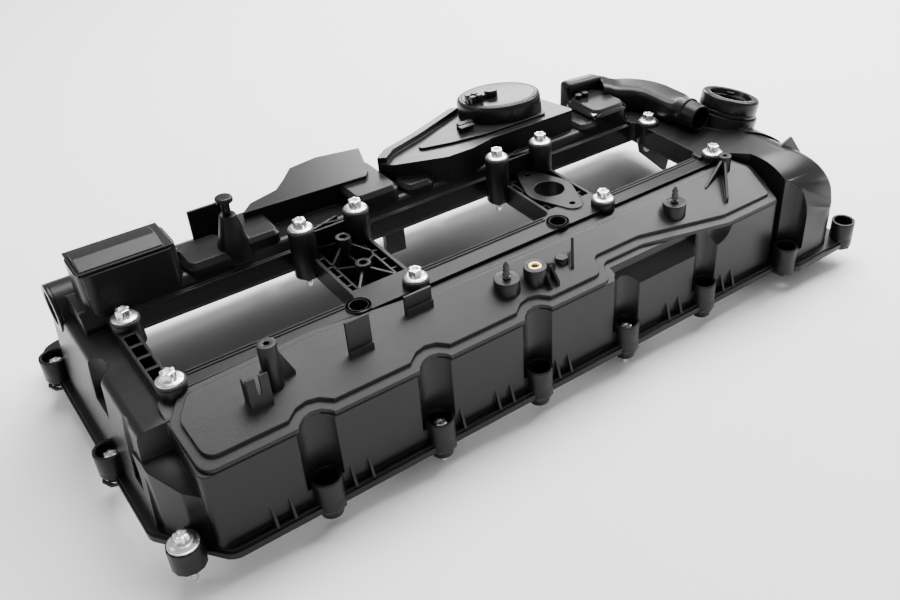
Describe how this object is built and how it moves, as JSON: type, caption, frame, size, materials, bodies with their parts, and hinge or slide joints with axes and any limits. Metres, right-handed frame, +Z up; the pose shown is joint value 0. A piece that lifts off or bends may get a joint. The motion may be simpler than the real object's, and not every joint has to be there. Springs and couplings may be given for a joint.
{
  "type": "engine valve cover",
  "caption": "Long moulded engine valve cover with three windows between its bolt rails, a welded oil separator lid, a pressure valve, a filler neck and a breather spout.",
  "frame": {"origin": "middle of the underside of the bounding box", "axes": "+X along the engine, towards the domed end; +Y towards the intake side; +Z up"},
  "size_m": [0.666, 0.3244, 0.169],
  "materials": {
    "body_plastic": "glass filled nylon, satin",
    "lid_plastic": "glass filled nylon, welded lid, satin",
    "cap_plastic": "moulded nylon, slight gloss",
    "membrane": "soft rubber",
    "spring_steel": "bright wire",
    "dark_steel": "phosphated",
    "brass": "turned",
    "zinc": "zinc plated",
    "seal_rubber": "moulded seal"
  },
  "bodies": {
    "cover": {"cover_body": "body_plastic", "separator_lid": "lid_plastic", "box_lid": "body_plastic", "labyrinth_cover": "lid_plastic", "valve_cap": "cap_plastic", "valve_membrane": "membrane", "valve_spring": "spring_steel", "breather_duct": "body_plastic", "filler_neck": "cap_plastic", "port_ring": "cap_plastic", "mount_stud": "cap_plastic", "lid_studs": "dark_steel", "brass_insert": "brass", "inner_bolts_short": "zinc", "inner_bolts_long": "zinc", "inner_bushes_short": "seal_rubber", "inner_bushes_long": "seal_rubber", "outer_bolts": "zinc", "outer_bushes": "seal_rubber", "corner_bolt": "zinc", "corner_bush": "zinc", "outer_gasket": "seal_rubber", "window_gasket_1": "seal_rubber", "window_gasket_2": "seal_rubber", "window_gasket_3": "seal_rubber"},
    "valve": {"valve_plate": "cap_plastic"}
  },
  "joints": [
    {"name": "valve_lift", "type": "slide", "parent": "cover", "child": "valve", "axis": [0, 0.1392, 0.9903], "range_m": [-0.0027, 0], "stiffness_N_per_m": 120, "springref_m": 0.004, "deforming": ["valve_spring", "valve_membrane"]}
  ]
}
